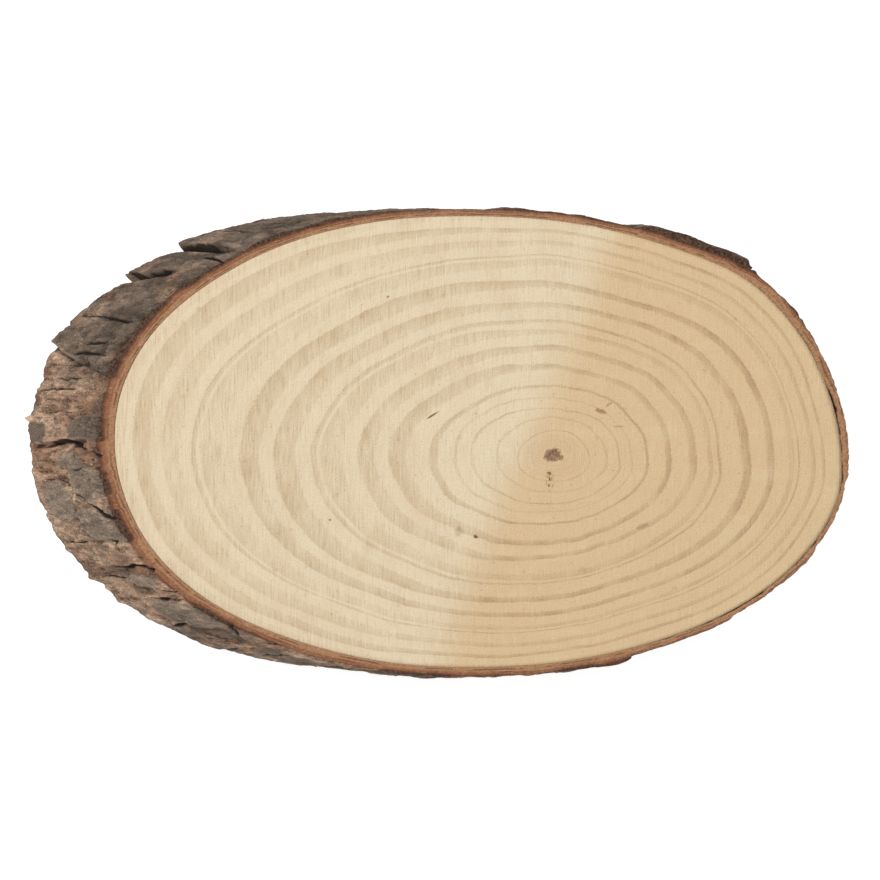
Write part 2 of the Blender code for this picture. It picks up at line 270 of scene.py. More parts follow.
# Marks on the upper face: where each lies, its half length and half width, its slant in degrees,
# how ragged it is and how strong
Mark = namedtuple("Mark", "x_mm y_mm length_mm width_mm slant ragged strong")
MARKS = (
    Mark(49.3, 9.3, 1.9, 0.7, -18, 1.0, 0.6),
    Mark(51.6, 11.2, 1.6, 0.35, 40, 1.0, 0.4),
    Mark(54.6, 4.7, 2.0, 0.3, 0, 1.0, 0.4),
    Mark(-1.2, 8.1, 2.7, 0.34, 31, 0.3, 0.9),
    Mark(11.8, -28.4, 0.8, 0.6, -35, 0.5, 1.0),
    Mark(6.8, -26.9, 1.8, 1.5, 60, 1.0, 0.3),
    Mark(61.9, -25.2, 2.4, 0.8, 22, 1.0, 0.4),
    Mark(-14.6, 43.6, 0.6, 0.4, 40, 0.5, 0.7),
    Mark(-32.0, -23.3, 0.5, 0.4, 0, 0.5, 0.7),
    Mark(33.8, -9.3, 0.7, 0.7, 0, 1.0, 0.9),
)
CRUMBLED_MARK = Mark(34.0, -11.6, 1.7, 3.6, 0, 1.0, 0.9)

# The studio
FLOOR_REACH = 1.5
ROOM_STRENGTH = 0.72
WINDOW_PLACE = (-0.7, 0.8, 1.5)
WINDOW_SIZE = 0.9
WINDOW_POWER = 15.0
CAMERA_PLACE = (1.0 * MM, 0.68 * MM, 1.0 + THICKNESS)
LENS_MM = 136.4


def wood_radius(angle):
    """Radius of the wood at an angle in degrees: a smooth closed curve through WOOD_RADII_MM."""
    return closed_curve(np.array(WOOD_RADII_MM) * MM, angle)


def closed_curve(values, angle):
    """A smooth closed curve through values spaced evenly round a full turn.

    Each stretch between two values is a cubic whose ends take the slope of the values beside them.
    """
    place = np.asarray(angle, float) / 360.0 * len(values)
    whole = np.floor(place).astype(int)
    share = place - whole
    before, here, after, beyond = (values[(whole + step) % len(values)] for step in (-1, 0, 1, 2))
    slope_here = (after - before) / 2
    slope_after = (beyond - here) / 2
    return (
        here * (1 + 2 * share) * (1 - share) ** 2
        + slope_here * share * (1 - share) ** 2
        + after * share**2 * (3 - 2 * share)
        - slope_after * share**2 * (1 - share)
    )


def place_on_trunk(angle, radius, height):
    """Points in space of trunk angles in degrees, radii, and heights over the floor.

    The radius is stretched along X by the lean, and a point slides back along X as it goes down.
    """
    turn = np.radians(angle)
    across = AXIS_X + radius * np.cos(turn) / math.cos(TRUNK_LEAN)
    slide = (height / THICKNESS - 1.0) * FACE_SLIDE
    up = AXIS_Y + radius * np.sin(turn)
    return np.stack(np.broadcast_arrays(across + slide, up, height), axis=-1)


def ramp(value):
    """Rises smoothly from 0 to 1 as the value goes from 0 to 1."""
    value = np.clip(value, 0.0, 1.0)
    return value * value * (3 - 2 * value)


def stepped(value, rise):
    """A smooth value made into level steps of 1, each with a soft rise over a share of its width."""
    level = np.floor(value)
    return level + ramp((value - level) / rise)


def degrees_past(angle, middle):
    """Degrees from a middle angle to an angle the short way round, from -180 to 180."""
    return (angle - middle + 180.0) % 360.0 - 180.0


def arc_past(angle, middle):
    """Distance round the trunk from a middle angle to an angle, the short way."""
    return np.radians(degrees_past(angle, middle)) * MEAN_RADIUS


def smooth_noise(x, y, z, seed):
    """Soft noise from -1 to 1: a random value at each whole-number corner, blended between them."""
    values = np.random.default_rng(seed).uniform(-1.0, 1.0, (NOISE_CELLS,) * 3)
    point = np.stack(np.broadcast_arrays(x, y, z), axis=-1)
    corner = np.floor(point).astype(int)
    share = point - corner
    share = share * share * (3 - 2 * share)
    total = np.zeros(point.shape[:-1])
    for step in np.ndindex(2, 2, 2):
        weight = np.prod(np.where(step, share, 1 - share), axis=-1)
        total += weight * values[tuple(np.moveaxis((corner + step) % NOISE_CELLS, -1, 0))]
    return total


def trunk_noise(angle, along, size_around, size_along, seed, layers=1):
    """Soft noise on the trunk's surface, with each further layer half as large and half as strong."""
    turn = np.radians(angle)
    total = 0.0
    for layer in range(layers):
        finer = 2.0**layer
        total = total + smooth_noise(
            finer * MEAN_RADIUS * np.cos(turn) / size_around,
            finer * MEAN_RADIUS * np.sin(turn) / size_around,
            finer * along / size_along,
            seed + layer,
        ) / finer
    return total


def cell_pattern(angle, along, seed):
    """Irregular cells on the unrolled trunk: distance from the nearest joint, and a value per cell.

    Cell centres are jittered on a grid that closes round the trunk. The distance to a joint is the
    second nearest centre's distance less the nearest's.
    """
    girth = 2 * math.pi * MEAN_RADIUS
    count = round(girth / CELL_AROUND)
    bend = 0.22 * trunk_noise(angle, along, 3.0 * MM, 5.0 * MM, seed + 50, layers=2)
    across = angle / 360.0 * count + bend
    down = along / CELL_ALONG + 0.7 * bend + 7.0
    across, down = np.broadcast_arrays(across, down)
    random = np.random.default_rng(seed)
    jitter = random.uniform(0.1, 0.9, (count, 16, 2))
    tone = random.uniform(-1.0, 1.0, (count, 16))
    column = np.floor(across).astype(int)
    row = np.floor(down).astype(int)
    nearest = np.full(across.shape, 9.0)
    second = np.full(across.shape, 9.0)
    cell_tone = np.zeros(across.shape)
    for step_across, step_down in np.ndindex(3, 3):
        at_column = column + step_across - 1
        at_row = row + step_down - 1
        offset = jitter[at_column % count, at_row % 16]
        distance = np.hypot(at_column + offset[..., 0] - across, at_row + offset[..., 1] - down)
        closer = distance < nearest
        second = np.where(closer, nearest, np.minimum(second, distance))
        cell_tone = np.where(closer, tone[at_column % count, at_row % 16], cell_tone)
        nearest = np.where(closer, distance, nearest)
    return (second - nearest) * CELL_AROUND / 2, cell_tone


def hidden_cracks():
    """Cracks for the sides that face away, drawn at random with a fixed seed, mostly lengthwise."""
    random = np.random.default_rng(71)
    cracks = []
    for _ in range(HIDDEN_CRACKS):
        angle = random.uniform(HIDDEN_FROM, HIDDEN_TO)
        along = random.uniform(2, 20)
        length = random.uniform(6, 20)
        bend, drift = random.uniform(-1.5, 1.5, 2)
        width = random.uniform(0.4, 0.8)
        places = ((angle, along), (angle + bend, along + length / 2), (angle + drift, along + length))
        cracks.append(Crack(width, 1.3 * width, places))
    return cracks


def crack_depth(angle, along):
    """How deep the cracks cut at each place: a rounded groove round each line, deepest one winning.

    A groove tapers towards the ends of its line.
    """
    wiggle = 0.3 * MM * trunk_noise(angle, along, 1.5 * MM, 2.5 * MM, seed=41, layers=2)
    depth = np.zeros(np.broadcast(angle, along).shape)
    for crack in (*CRACKS, *hidden_cracks()):
        stretches = len(crack.places) - 1
        for number in range(stretches):
            start, end = crack.places[number : number + 2]
            across = arc_past(angle, start[0]) + wiggle
            down = along - start[1] * MM
            run_across = math.radians(end[0] - start[0]) * MEAN_RADIUS
            run_down = (end[1] - start[1]) * MM
            share = (across * run_across + down * run_down) / (run_across**2 + run_down**2)
            share = np.clip(share, 0.0, 1.0)
            distance = np.hypot(across - share * run_across, down - share * run_down)
            whole = (number + share) / stretches
            taper = np.sqrt(np.clip(4 * whole * (1 - whole), 0.06, 1.0))
            groove = 1.0 - ramp(distance / (crack.width_mm * MM * taper))
            depth = np.maximum(depth, crack.depth_mm * MM * taper * groove)
    return depth


def pad_cover(angle, along):
    """Where the pads are, 1 on them and 0 off them, and how pale they are.

    A pad is a rounded oblong with a ragged edge: the fourth powers of the shares across and down
    add up.
    """
    cover = np.zeros(np.broadcast(angle, along).shape)
    pale = np.zeros(cover.shape)
    ragged = 0.26 * trunk_noise(angle, along, 3.5 * MM, 4.5 * MM, seed=163, layers=4)
    for pad in PADS:
        across = arc_past(angle, pad.angle)
        down = along - pad.along_mm * MM
        oblong = ((across / (pad.around_mm * MM)) ** 4 + (down / (pad.down_mm * MM)) ** 4) ** 0.25
        inside = 1.0 - ramp((oblong + ragged - 0.94) / 0.12)
        cover = np.maximum(cover, inside)
        pale = np.where(inside > 0, pad.pale, pale)
    return cover, pale


def bit_height(angle, along):
    """How far the bits of bark stick out: a steep rounded peak for each."""
    height = np.zeros(np.broadcast(angle, along).shape)
    for bit in BITS:
        across = arc_past(angle, bit.angle)
        down = along - bit.along_mm * MM
        distance = np.hypot(across / (bit.around_mm * MM), down / (bit.down_mm * MM))
        height = np.maximum(height, bit.high_mm * MM * (1.0 - ramp(distance)))
    return height


def plate_starts(along):
    """Angle at which each plate starts, at distances down the axis. It leans and wanders."""
    reach = along / AXIS_LENGTH - 0.5
    starts = []
    for number, plate in enumerate(PLATES):
        wander = WANDER_DEGREES * smooth_noise(along / WANDER_ALONG, number + 0.5, 0.5, seed=11)
        starts.append(plate.start + plate.lean * reach + wander)
    return np.array(starts)


def bark_columns():
    """Which plate each column of the bark's grid is on, and its share of the way across it."""
    numbers = []
    shares = []
    edges = [plate.start for plate in PLATES] + [PLATES[0].start + 360.0]
    for number in range(len(PLATES)):
        width = math.radians(edges[number + 1] - edges[number]) * MEAN_RADIUS
        middle = (edges[number] + edges[number + 1]) / 2
        steps = round(width / (FINE_SPACING if FINE_FROM < middle < FINE_TO else WIDE_SPACING))
        lip = np.linspace(width - SHARP_EDGE, width, 4)[:-1]
        places = np.concatenate([np.linspace(0.0, width - SHARP_EDGE, steps)[:-1], lip])
        numbers.extend([number] * len(places))
        shares.extend(places / width)
    return np.array(numbers), np.array(shares)


def column_angles(along, numbers, shares):
    """Angle of every column at each distance down the axis, and the width of its plate there."""
    starts = plate_starts(along)
    ends = np.vstack([starts[1:], starts[:1] + 360.0])
    width = (ends - starts)[numbers].T
    return starts[numbers].T + width * shares, width


def plate_height(along, width, numbers, shares):
    """Height of the plates over the wood, before any finer relief, as in the solid part.

    Where a lip is open, both plates fall to the inner bark there, the one gently at its start and
    the other sharply at its lip. Where it is closed, one surface runs over into the next.
    """
    field = {name: np.array([getattr(plate, name) for plate in PLATES]) for name in Plate._fields}
    reach = along / AXIS_LENGTH
    here = {name: values[numbers] for name, values in field.items()}
    before = {name: np.roll(values, 1)[numbers] for name, values in field.items()}
    next_first = np.roll(field["first_mm"], -1)[numbers]
    across = np.radians(width) * MEAN_RADIUS
    from_end = across * (1.0 - shares)
    surface = here["first_mm"] + (here["last_mm"] - here["first_mm"]) * shares
    own_open = lip_opening(here, reach)
    runover = (1.0 - own_open) * ramp(1.0 - from_end / LIP_RUNOVER)
    surface = (surface + (next_first - surface) * runover) * MM
    past = ramp((along - here["flake_at"] * AXIS_LENGTH) / FLAKE_EDGE + 0.5)
    past = np.where(here["flake_mm"] < 0, 1.0 - past, past)
    inside = np.sqrt(ramp(across * shares / BROAD_EDGE) * ramp(from_end / BROAD_EDGE))
    surface = surface - np.abs(here["flake_mm"]) * MM * past * inside
    rise = 1.0 - lip_opening(before, reach) * (1.0 - ramp(across * shares / BROAD_EDGE))
    fall = 1.0 - own_open * (1.0 - ramp(from_end / SHARP_EDGE))
    inner = np.minimum(INNER_BARK, 0.7 * surface)
    return inner + (surface - inner) * np.sqrt(rise * fall)


def lip_opening(plate, reach):
    """How far a plate's lip is open at a share of the way down: fades in and out at its two ends."""
    fade_in = ramp((reach - plate["lip_from"]) / 0.15 + 0.5)
    fade_out = ramp((plate["lip_to"] - reach) / 0.15 + 0.5)
    return plate["lip"] * fade_in * fade_out


def bark_relief(angle, along, width, numbers, shares):
    """The bark's full height over the wood, with what its colours need.

    Adds to the plates a soft swell, flaked terraces, the joints of small cells, cracks, bits that
    stick out and grain. Returns the height, and numbers for the skin's colours.
    """
    height = plate_height(along, width, numbers, shares)
    height = height + SWELL_DEPTH * trunk_noise(angle, along, SWELL_AROUND, SWELL_ALONG, seed=23)
    near_rim = 1.0 - ramp(along / RIM_ZONE)
    near_base = 1.0 - ramp((AXIS_LENGTH - along) / RIM_ZONE)
    in_view = ramp(0.5 - 2.0 * np.cos(np.radians(angle)))
    height = height - WEAR * in_view * near_rim * np.clip(height - WORN_DOWN_TO, 0.0, None)
    rough = (1.0 - (0.7 - 0.3 * in_view) * near_rim) * (1.0 - 0.5 * near_base)
    thin = 1.0 - ramp((height - INNER_BARK) / (1.2 * MM))
    cover, pale = pad_cover(angle, along)
    height = height + PAD_HEIGHT * rough * cover * (1.0 - 0.7 * thin)
    bare = np.array([plate.bare for plate in PLATES])[numbers]
    bare = ramp(bare + 0.55 * trunk_noise(angle, along, 6 * MM, 8 * MM, seed=61, layers=3))
    joint, tone = cell_pattern(angle, along, seed=31)
    groove = 1.0 - ramp(joint / CELL_CRACK)
    height = height - CELL_DEPTH * (1.0 - 0.6 * bare) * (1.0 - 0.8 * thin) * groove
    terraces = stepped(2.6 * trunk_noise(angle, along, 5 * MM, 10 * MM, seed=83, layers=3), 0.16)
    height = height + TERRACE_DEPTH * rough * np.clip(terraces, -3, 3) * 0.5 * (1.0 - 0.5 * thin)
    scales = stepped(2.2 * trunk_noise(angle, along, 2.2 * MM, 4.5 * MM, seed=89, layers=2), 0.2)
    height = height + SCALE_DEPTH * rough * scales * (1.0 - 0.5 * thin)
    ridges = trunk_noise(angle, along, 1.0 * MM, 7 * MM, seed=97, layers=2)
    height = height + RIDGE_DEPTH * rough * bare * ridges
    grain = trunk_noise(angle, along, 0.8 * MM, 0.9 * MM, seed=113, layers=2)
    height = height + GRAIN_DEPTH * rough * (1.0 - 0.4 * bare) * grain
    crack = crack_depth(angle, along)
    height = height - crack * (1.0 - 0.5 * thin) + bit_height(angle, along)
    skin = {
        "bare": bare * (1.0 - cover),
        "pale": pale * cover,
        "pad": cover,
        "tone": tone,
        # Crack depth, which the bark's colour turns into painted shade in the cracks
        "crack": np.clip(crack / (0.7 * MM), 0.0, 1.0),
    }
    return np.maximum(height, THINNEST), skin


def parting_width(angle):
    """Width of the crack between wood and bark at an angle. Nothing where they have grown together."""
    width = np.zeros(np.shape(angle))
    for parting in PARTINGS:
        half = (parting.end - parting.start) / 2
        middle = (parting.start + parting.end) / 2
        off = np.abs(degrees_past(angle, middle)) / half
        rough = 0.75 + 0.5 * trunk_noise(angle, 0.0, 2.5 * MM, 5 * MM, seed=127, layers=2)
        width = np.maximum(width, parting.width_mm * MM * np.clip(1.0 - off**4, 0.0, 1.0) * rough)
    return width


# The bark's colour turns this into painted shade in hollows and painted highlight on raised places.
def hollow_map(height):
    """How sunken each place of a height grid is: its surroundings' mean height less its own, 0 to 1."""
    total = np.zeros(height.shape)
    padded = np.pad(height, ((4, 4), (0, 0)), mode="edge")
    for down in range(0, 9, 2):
        for across in range(-4, 5, 2):
            total += np.roll(padded[down : down + len(height)], across, axis=1)
    return np.clip((total / 25 - height) / HOLLOW_DEPTH, -1.0, 1.0)


def closed_grid_faces(rows, columns):
    """Quads of a grid that closes on itself round both ways."""
    row, column = np.meshgrid(np.arange(rows), np.arange(columns), indexing="ij")
    right = (column + 1) % columns
    below = (row + 1) % rows
    quads = [row * columns + column, row * columns + right, below * columns + right, below * columns + column]
    return np.stack(quads, axis=-1).reshape(-1, 4)


def new_piece(name, points, faces, finish, attributes):
    """A smooth-shaded object of points and faces, with its numbers per vertex and its material."""
    mesh = bpy.data.meshes.new(name)
    mesh.from_pydata(points.reshape(-1, 3).tolist(), [], [face.tolist() for face in faces])
    for label, values in attributes.items():
        kind, field = ("FLOAT_VECTOR", "vector") if values.ndim == 2 else ("FLOAT", "value")
        layer = mesh.attributes.new(label, kind, "POINT")
        layer.data.foreach_set(field, np.ascontiguousarray(values, dtype=np.float32).ravel())
    mesh.materials.append(finish)
    mesh.shade_smooth()
    piece = bpy.data.objects.new(name, mesh)
    bpy.context.scene.collection.objects.link(piece)
    return piece


def ring_table():
    """For each row of the face from the pith out: its ring number, darkness, and reach at each angle."""
    angles = np.arange(FACE_COLUMNS) * 360.0 / FACE_COLUMNS
    turn = np.radians(angles)
    reaches = [np.zeros(FACE_COLUMNS)]
    for number, ring in enumerate(RINGS):
        reach = closed_curve(np.array(ring.reach), angles) / 100.0
        shared = smooth_noise(4 * np.cos(turn), 4 * np.sin(turn), number / 6.0, seed=3)
        shared = shared + 0.5 * smooth_noise(9 * np.cos(turn), 9 * np.sin(turn), number / 3.0, seed=4)
        reaches.append(reach + RING_WAVER * shared * ramp(reach * 2.5) * ramp((1.0 - reach) * 25.0))
    reaches.append(np.ones(FACE_COLUMNS))
    numbers = []
    darks = []
    rows = []
    for number, dark in enumerate([ring.dark for ring in RINGS] + [LAST_RING_DARK]):
        inner, outer = reaches[number], reaches[number + 1]
        for step in range(1, RING_ROWS + 1):
            share = step / RING_ROWS
            numbers.append(number + share)
            darks.append(dark)
            rows.append(inner + (outer - inner) * share)
    return angles, np.array(numbers), np.array(darks), np.array(rows)


def face_edge(angles):
    """Points of the wood's outline on the upper face, seen from the pith at the given angles.

    The outline is worked out finely round the trunk's axis, then read off by angle about the pith.
    """
    fine = np.linspace(0.0, 360.0, 7201)[:-1]
    outline = place_on_trunk(fine, wood_radius(fine), THICKNESS)
    pith = np.array([AXIS_X + PITH_X, AXIS_Y + PITH_Y, THICKNESS])
    away = outline - pith
    turn = np.degrees(np.arctan2(away[:, 1], away[:, 0])) % 360.0
    order = np.argsort(turn)
    reach = np.hypot(away[:, 0], away[:, 1])[order]
    return pith, np.interp(angles, turn[order], reach, period=360.0)


def make_wood_piece(finish):
    """The wood: rows that follow the growth rings on both faces, joined by a wall down the slant.

    A point of a face is the pith plus a share of the way to the outline. The face dips at the pith
    and late wood stands very slightly proud of the rest.
    """
    angles, numbers, darks, shares = ring_table()
    pith, edge = face_edge(angles)
    turn = np.radians(angles)
    reach = shares * edge
    late = ramp(((numbers % 1.0) - 0.6) / 0.4)[:, None] * darks[:, None]
    dip = PITH_DEPTH * (1.0 - ramp(reach / PITH_RADIUS))
    across = reach * np.cos(turn)
    up = reach * np.sin(turn)
    texture = FACE_TEXTURE * smooth_noise(across / (2 * MM), up / (2 * MM), 0.5, seed=5)
    rounding = EDGE_ROUNDING * ramp((shares - 0.992) / 0.008)
    upper_z = THICKNESS - FACE_SINK + LATE_RELIEF * late - dip + texture - rounding
    x = pith[0] + across
    y = pith[1] + up
    upper = np.stack([x, y, upper_z], axis=-1)
    lower = np.stack([x - FACE_SLIDE, y, THICKNESS - upper_z], axis=-1)
    wall = [upper[-1] + (lower[-1] - upper[-1]) * share for share in WOOD_WALL]
    rows = np.concatenate([upper, wall, lower[::-1]])
    ring_rows = np.concatenate([numbers, np.full(len(wall), numbers[-1] - 0.5), numbers[::-1]])
    dark_rows = np.concatenate([darks, np.zeros(len(wall)), darks[::-1]])
    upper_pole = [pith[0], pith[1], THICKNESS - PITH_DEPTH]
    lower_pole = [pith[0] - FACE_SLIDE, pith[1], PITH_DEPTH]
    points = np.concatenate([rows.reshape(-1, 3), [upper_pole, lower_pole]])
    column = np.arange(FACE_COLUMNS)
    after = (column + 1) % FACE_COLUMNS
    last = (len(rows) - 1) * FACE_COLUMNS
    quads = closed_grid_faces(len(rows), FACE_COLUMNS)[:last, ::-1]
    upper_fan = np.stack([np.full(FACE_COLUMNS, len(points) - 2), column, after], axis=-1)
    lower_fan = np.stack([np.full(FACE_COLUMNS, len(points) - 1), last + after, last + column], axis=-1)
    faces = [*quads, *upper_fan, *lower_fan]
    broad = 1.0 - ramp((np.abs(degrees_past(angles, BROAD_SIDE)) - 25.0) / 60.0)
    outward = ramp((ring_rows - 6.0) / 5.0)[:, None]
    spread = {
        "ring": np.append(np.repeat(ring_rows, FACE_COLUMNS), [0.0, 0.0]),
        "dark": np.append(np.repeat(dark_rows, FACE_COLUMNS), [0.3, 0.3]),
        "broad": np.append((broad * outward).ravel(), [0.0, 0.0]),
    }
    return new_piece("wood_rings", points, faces, finish, spread)


def chipped_edge(angle):
    """Height of the outer edge of the sawn rim, which is chipped coarsely and finely."""
    turn = np.radians(angle)
    chips = CHIP_SPREAD * smooth_noise(9 * np.cos(turn), 9 * np.sin(turn), 0.5, seed=37)
    fine_chips = FINE_CHIPS * trunk_noise(angle, 0.0, 1.2 * MM, 1.0 * MM, seed=131, layers=3)
    return THICKNESS - np.maximum(CHIP_DEPTH + chips + fine_chips, LEAST_CHIP)


def crumbled_base(stand, angle, along):
    """The bark's height with bits crumbled off it near the lower face."""
    near_base = ramp((along - AXIS_LENGTH + CRUMBLE_ZONE) / CRUMBLE_ZONE)
    bits = np.clip(trunk_noise(angle, along, 1.6 * MM, 9 * MM, seed=139, layers=2), 0.0, 1.0)
    return np.maximum(stand - CRUMBLE_DEPTH * near_base * bits, THINNEST)


def sawn_rim_height(angle, share, outer_top):
    """Height of the sawn rim at shares of the way out: level and pitted, then down to its edge."""
    slope = np.clip((share - RIM_SHARE) / (1.0 - RIM_SHARE), 0.0, 1.0)
    pits = RIM_PITS * trunk_noise(angle, share * 4 * MM, 0.7 * MM, 0.7 * MM, seed=151, layers=2)
    height = THICKNESS - RIM_SINK - (THICKNESS - outer_top) * slope**1.5 + pits * ramp(share / 0.1)
    return np.minimum(height, THICKNESS)


def over_all_rows(side):
    """Values of the bark's outside, with its first row over the rim and its last over the rest."""
    rest = BASE_ROWS + len(WALL_CLIMBS)
    return np.concatenate([np.repeat(side[:1], RIM_ROWS, 0), side, np.repeat(side[-1:], rest, 0)])


def by_band(rim, side, base, wall, columns):
    """One number per point of the bark: a value each for its rim, outside, base and inner wall."""
    return np.repeat([rim, side, base, wall], np.array(BAND_ROWS) * columns)


def make_bark_piece(finish):
    """The bark: one closed grid whose rows go round its cross-section.

    Out over the sawn rim, down the rough outside, in under the base, and up the inner wall against
    the wood. Columns keep to the plates' edges, so that each lip is crisp.
    """
    numbers, shares = bark_columns()
    down = np.linspace(0.0, AXIS_LENGTH, SIDE_ROWS)[:, None]
    angle, width = column_angles(down[:, 0], numbers, shares)
    outer_top = chipped_edge(angle[0])
    height = outer_top * (1.0 - down / AXIS_LENGTH)
    along = (THICKNESS - height) / math.cos(TRUNK_LEAN)
    stand, skin = bark_relief(angle, along, width, numbers, shares)
    stand = crumbled_base(stand, angle, along)
    side = place_on_trunk(angle, wood_radius(angle) + stand, height)

    gap = parting_width(angle[0]) - OVERLAP
    share = np.linspace(0.0, 1.0, RIM_ROWS + 1)[:-1, None]
    rim_over = share * (stand[0] - gap)
    rim_height = sawn_rim_height(angle[0], share, outer_top)
    rim = place_on_trunk(angle[0], wood_radius(angle[0]) + gap + rim_over, rim_height)

    base_over = np.linspace(1.0, 0.0, BASE_ROWS + 1)[1:, None] * (stand[-1] + OVERLAP)
    base = place_on_trunk(angle[-1], wood_radius(angle[-1]) - OVERLAP + base_over, 0.0)

    climb = np.array(WALL_CLIMBS)[:, None]
    wall_angle = angle[-1] + (angle[0] - angle[-1]) * climb
    wall_radius = wood_radius(wall_angle) - OVERLAP + (gap + OVERLAP) * climb
    wall = place_on_trunk(wall_angle, wall_radius, rim_height[0] * climb)

    points = np.concatenate([rim, side, base, wall])
    rows, columns = points.shape[:2]
    thickness = np.concatenate([rim_over, stand, base_over, 0.0 * wall_angle])
    base_along = np.full(base_over.shape, AXIS_LENGTH)
    wall_along = AXIS_LENGTH * (1.0 - climb) + 0.0 * wall_angle
    turn = np.radians(over_all_rows(angle))
    radius = MEAN_RADIUS + thickness
    all_along = np.concatenate([0.0 * rim_over, along, base_along, wall_along])
    trunk = np.stack([radius * np.cos(turn), radius * np.sin(turn), all_along], axis=-1)
    spread = {
        "fresh": by_band(1.0, 0.0, 1.0, 1.0, columns),
        # 1 on the inner wall in the gap between bark and wood, where the bark's colour paints shade
        "gap_shade": by_band(0.0, 0.0, 0.0, 1.0, columns),
        "stand": (thickness / MM).ravel(),
        # Sunkenness per point, which the bark's colour uses for painted shade in hollows and painted
        # highlight on raised places
        "hollow": over_all_rows(hollow_map(stand)).ravel(),
        **{label: over_all_rows(values).ravel() for label, values in skin.items()},
        "trunk": trunk.reshape(-1, 3),
    }
    faces = closed_grid_faces(rows, columns)[:, ::-1]
    return new_piece("bark_ring", points, faces, finish, spread)


def linear(colour):
    """A colour given as it looks on screen, 0 to 255, as the shader needs it."""
    shades = []
    for value in colour:
        share = value / 255.0
        shades.append(share / 12.92 if share <= 0.04045 else ((share + 0.055) / 1.055) ** 2.4)
    return (*shades, 1.0)


class Flow:
    """One output of a shader node, so that sums of them are written as plain Python."""

    def __init__(self, finish, socket):
        self.finish = finish
        self.socket = socket

    def _math(self, operation, *terms):
        return self.finish.node("ShaderNodeMath", {"operation": operation}, dict(enumerate(terms)))

    def __add__(self, other):
        return self._math("ADD", self, other)

    def __sub__(self, other):
        return self._math("SUBTRACT", self, other)

    def __rsub__(self, other):
        return self._math("SUBTRACT", other, self)

    def __mul__(self, other):
        return self._math("MULTIPLY", self, other)

    __radd__ = __add__
    __rmul__ = __mul__

    def fraction(self):
        return self._math("FRACT", self)

    def larger(self, other):
        return self._math("MAXIMUM", self, other)


class Finish:
    """A material and the nodes that make its colour, roughness and relief."""

    def __init__(self, name, roughness):
        self.material = bpy.data.materials.new(name)
        self.material.use_nodes = True
        self.tree = self.material.node_tree
        self.shader = self.tree.nodes["Principled BSDF"]
        self.shader.inputs["Roughness"].default_value = roughness
        self.shader.inputs["Specular IOR Level"].default_value = 0.3

    def node(self, kind, settings, sockets, output=0):
        """Adds a node: its settings first, then a value or a link for each socket named."""
        made = self.tree.nodes.new(kind)
        for label, value in settings.items():
            setattr(made, label, value)
        for label, value in sockets.items():
            self.feed(made.inputs[label], value)
        return Flow(self, made.outputs[output])

    def feed(self, socket, value):
        """Gives a socket a value, or the link of a Flow."""
        if isinstance(value, Flow):
            self.tree.links.new(value.socket, socket)
        else:
            socket.default_value = value

    def attribute(self, label, output="Fac"):
        return self.node("ShaderNodeAttribute", {"attribute_name": label}, {}, output)

    def object_axes(self):
        """X and Y of the object's own coordinates."""
        split = self.node("ShaderNodeSeparateXYZ", {}, {0: self.node("ShaderNodeTexCoord", {}, {}, "Object")})
        return split, Flow(self, split.socket.node.outputs["Y"])

    def place(self, stretch, source=None):
        """Object coordinates, or another vector, divided by a size in millimetres along each axis."""
        vector = source or self.node("ShaderNodeTexCoord", {}, {}, "Object")
        repeats = tuple(1.0 / (length * MM) for length in stretch)
        return self.node("ShaderNodeVectorMath", {"operation": "MULTIPLY"}, {0: vector, 1: repeats})

    def noise(self, stretch, detail, rough=0.5, source=None):
        """Cloudy noise of a size in millimetres along each axis, mostly from -0.8 to 0.8."""
        vector = self.place(stretch, source)
        sockets = {"Vector": vector, "Scale": 1.0, "Detail": detail, "Roughness": rough}
        return self.node("ShaderNodeTexNoise", {}, sockets) * 4.0 - 2.0

    def rise(self, value, low, high):
        """Goes smoothly from 0 to 1 as a value goes from low to high."""
        sockets = {"Value": value, "From Min": low, "From Max": high}
        return self.node("ShaderNodeMapRange", {"interpolation_type": "SMOOTHSTEP"}, sockets)

    def blend(self, factor, one, other):
        """Goes from one colour to another by a factor. A plain colour is given as on screen."""
        one, other = (linear(side) if isinstance(side, tuple) else side for side in (one, other))
        settings = {"data_type": "RGBA", "clamp_factor": True}
        return self.node("ShaderNodeMix", settings, {0: factor, 6: one, 7: other}, 2)

    def colour(self, value):
        self.feed(self.shader.inputs["Base Color"], value)

    def relief(self, value, distance):
        sockets = {"Height": value, "Distance": distance, "Strength": 1.0}
        bump = self.node("ShaderNodeBump", {}, sockets)
        self.feed(self.shader.inputs["Normal"], bump)


def specks(finish, size_mm, chance, radius_mm):
    """Scattered small dots: the middles of those cells of a random pattern that win a draw."""
    bend = finish.node("ShaderNodeTexNoise", {}, {"Vector": finish.place((0.7,) * 3)}, "Color")
    place = finish.place((size_mm,) * 3)
    place = finish.node("ShaderNodeVectorMath", {"operation": "ADD"}, {0: place, 1: bend})
    settings = {"voronoi_dimensions": "2D", "feature": "F1"}
    sockets = {"Vector": place, "Scale": 1.0}
    distance = finish.node("ShaderNodeTexVoronoi", settings, sockets)
    draw = finish.node("ShaderNodeTexVoronoi", settings, sockets, "Color")
    draw = finish.node("ShaderNodeSeparateColor", {}, {0: draw})
    dot = 1.0 - finish.rise(distance, 0.3 * radius_mm / size_mm, radius_mm / size_mm)
    return dot * finish.rise(draw, 1.0 - chance, 1.0 - chance * 0.3)


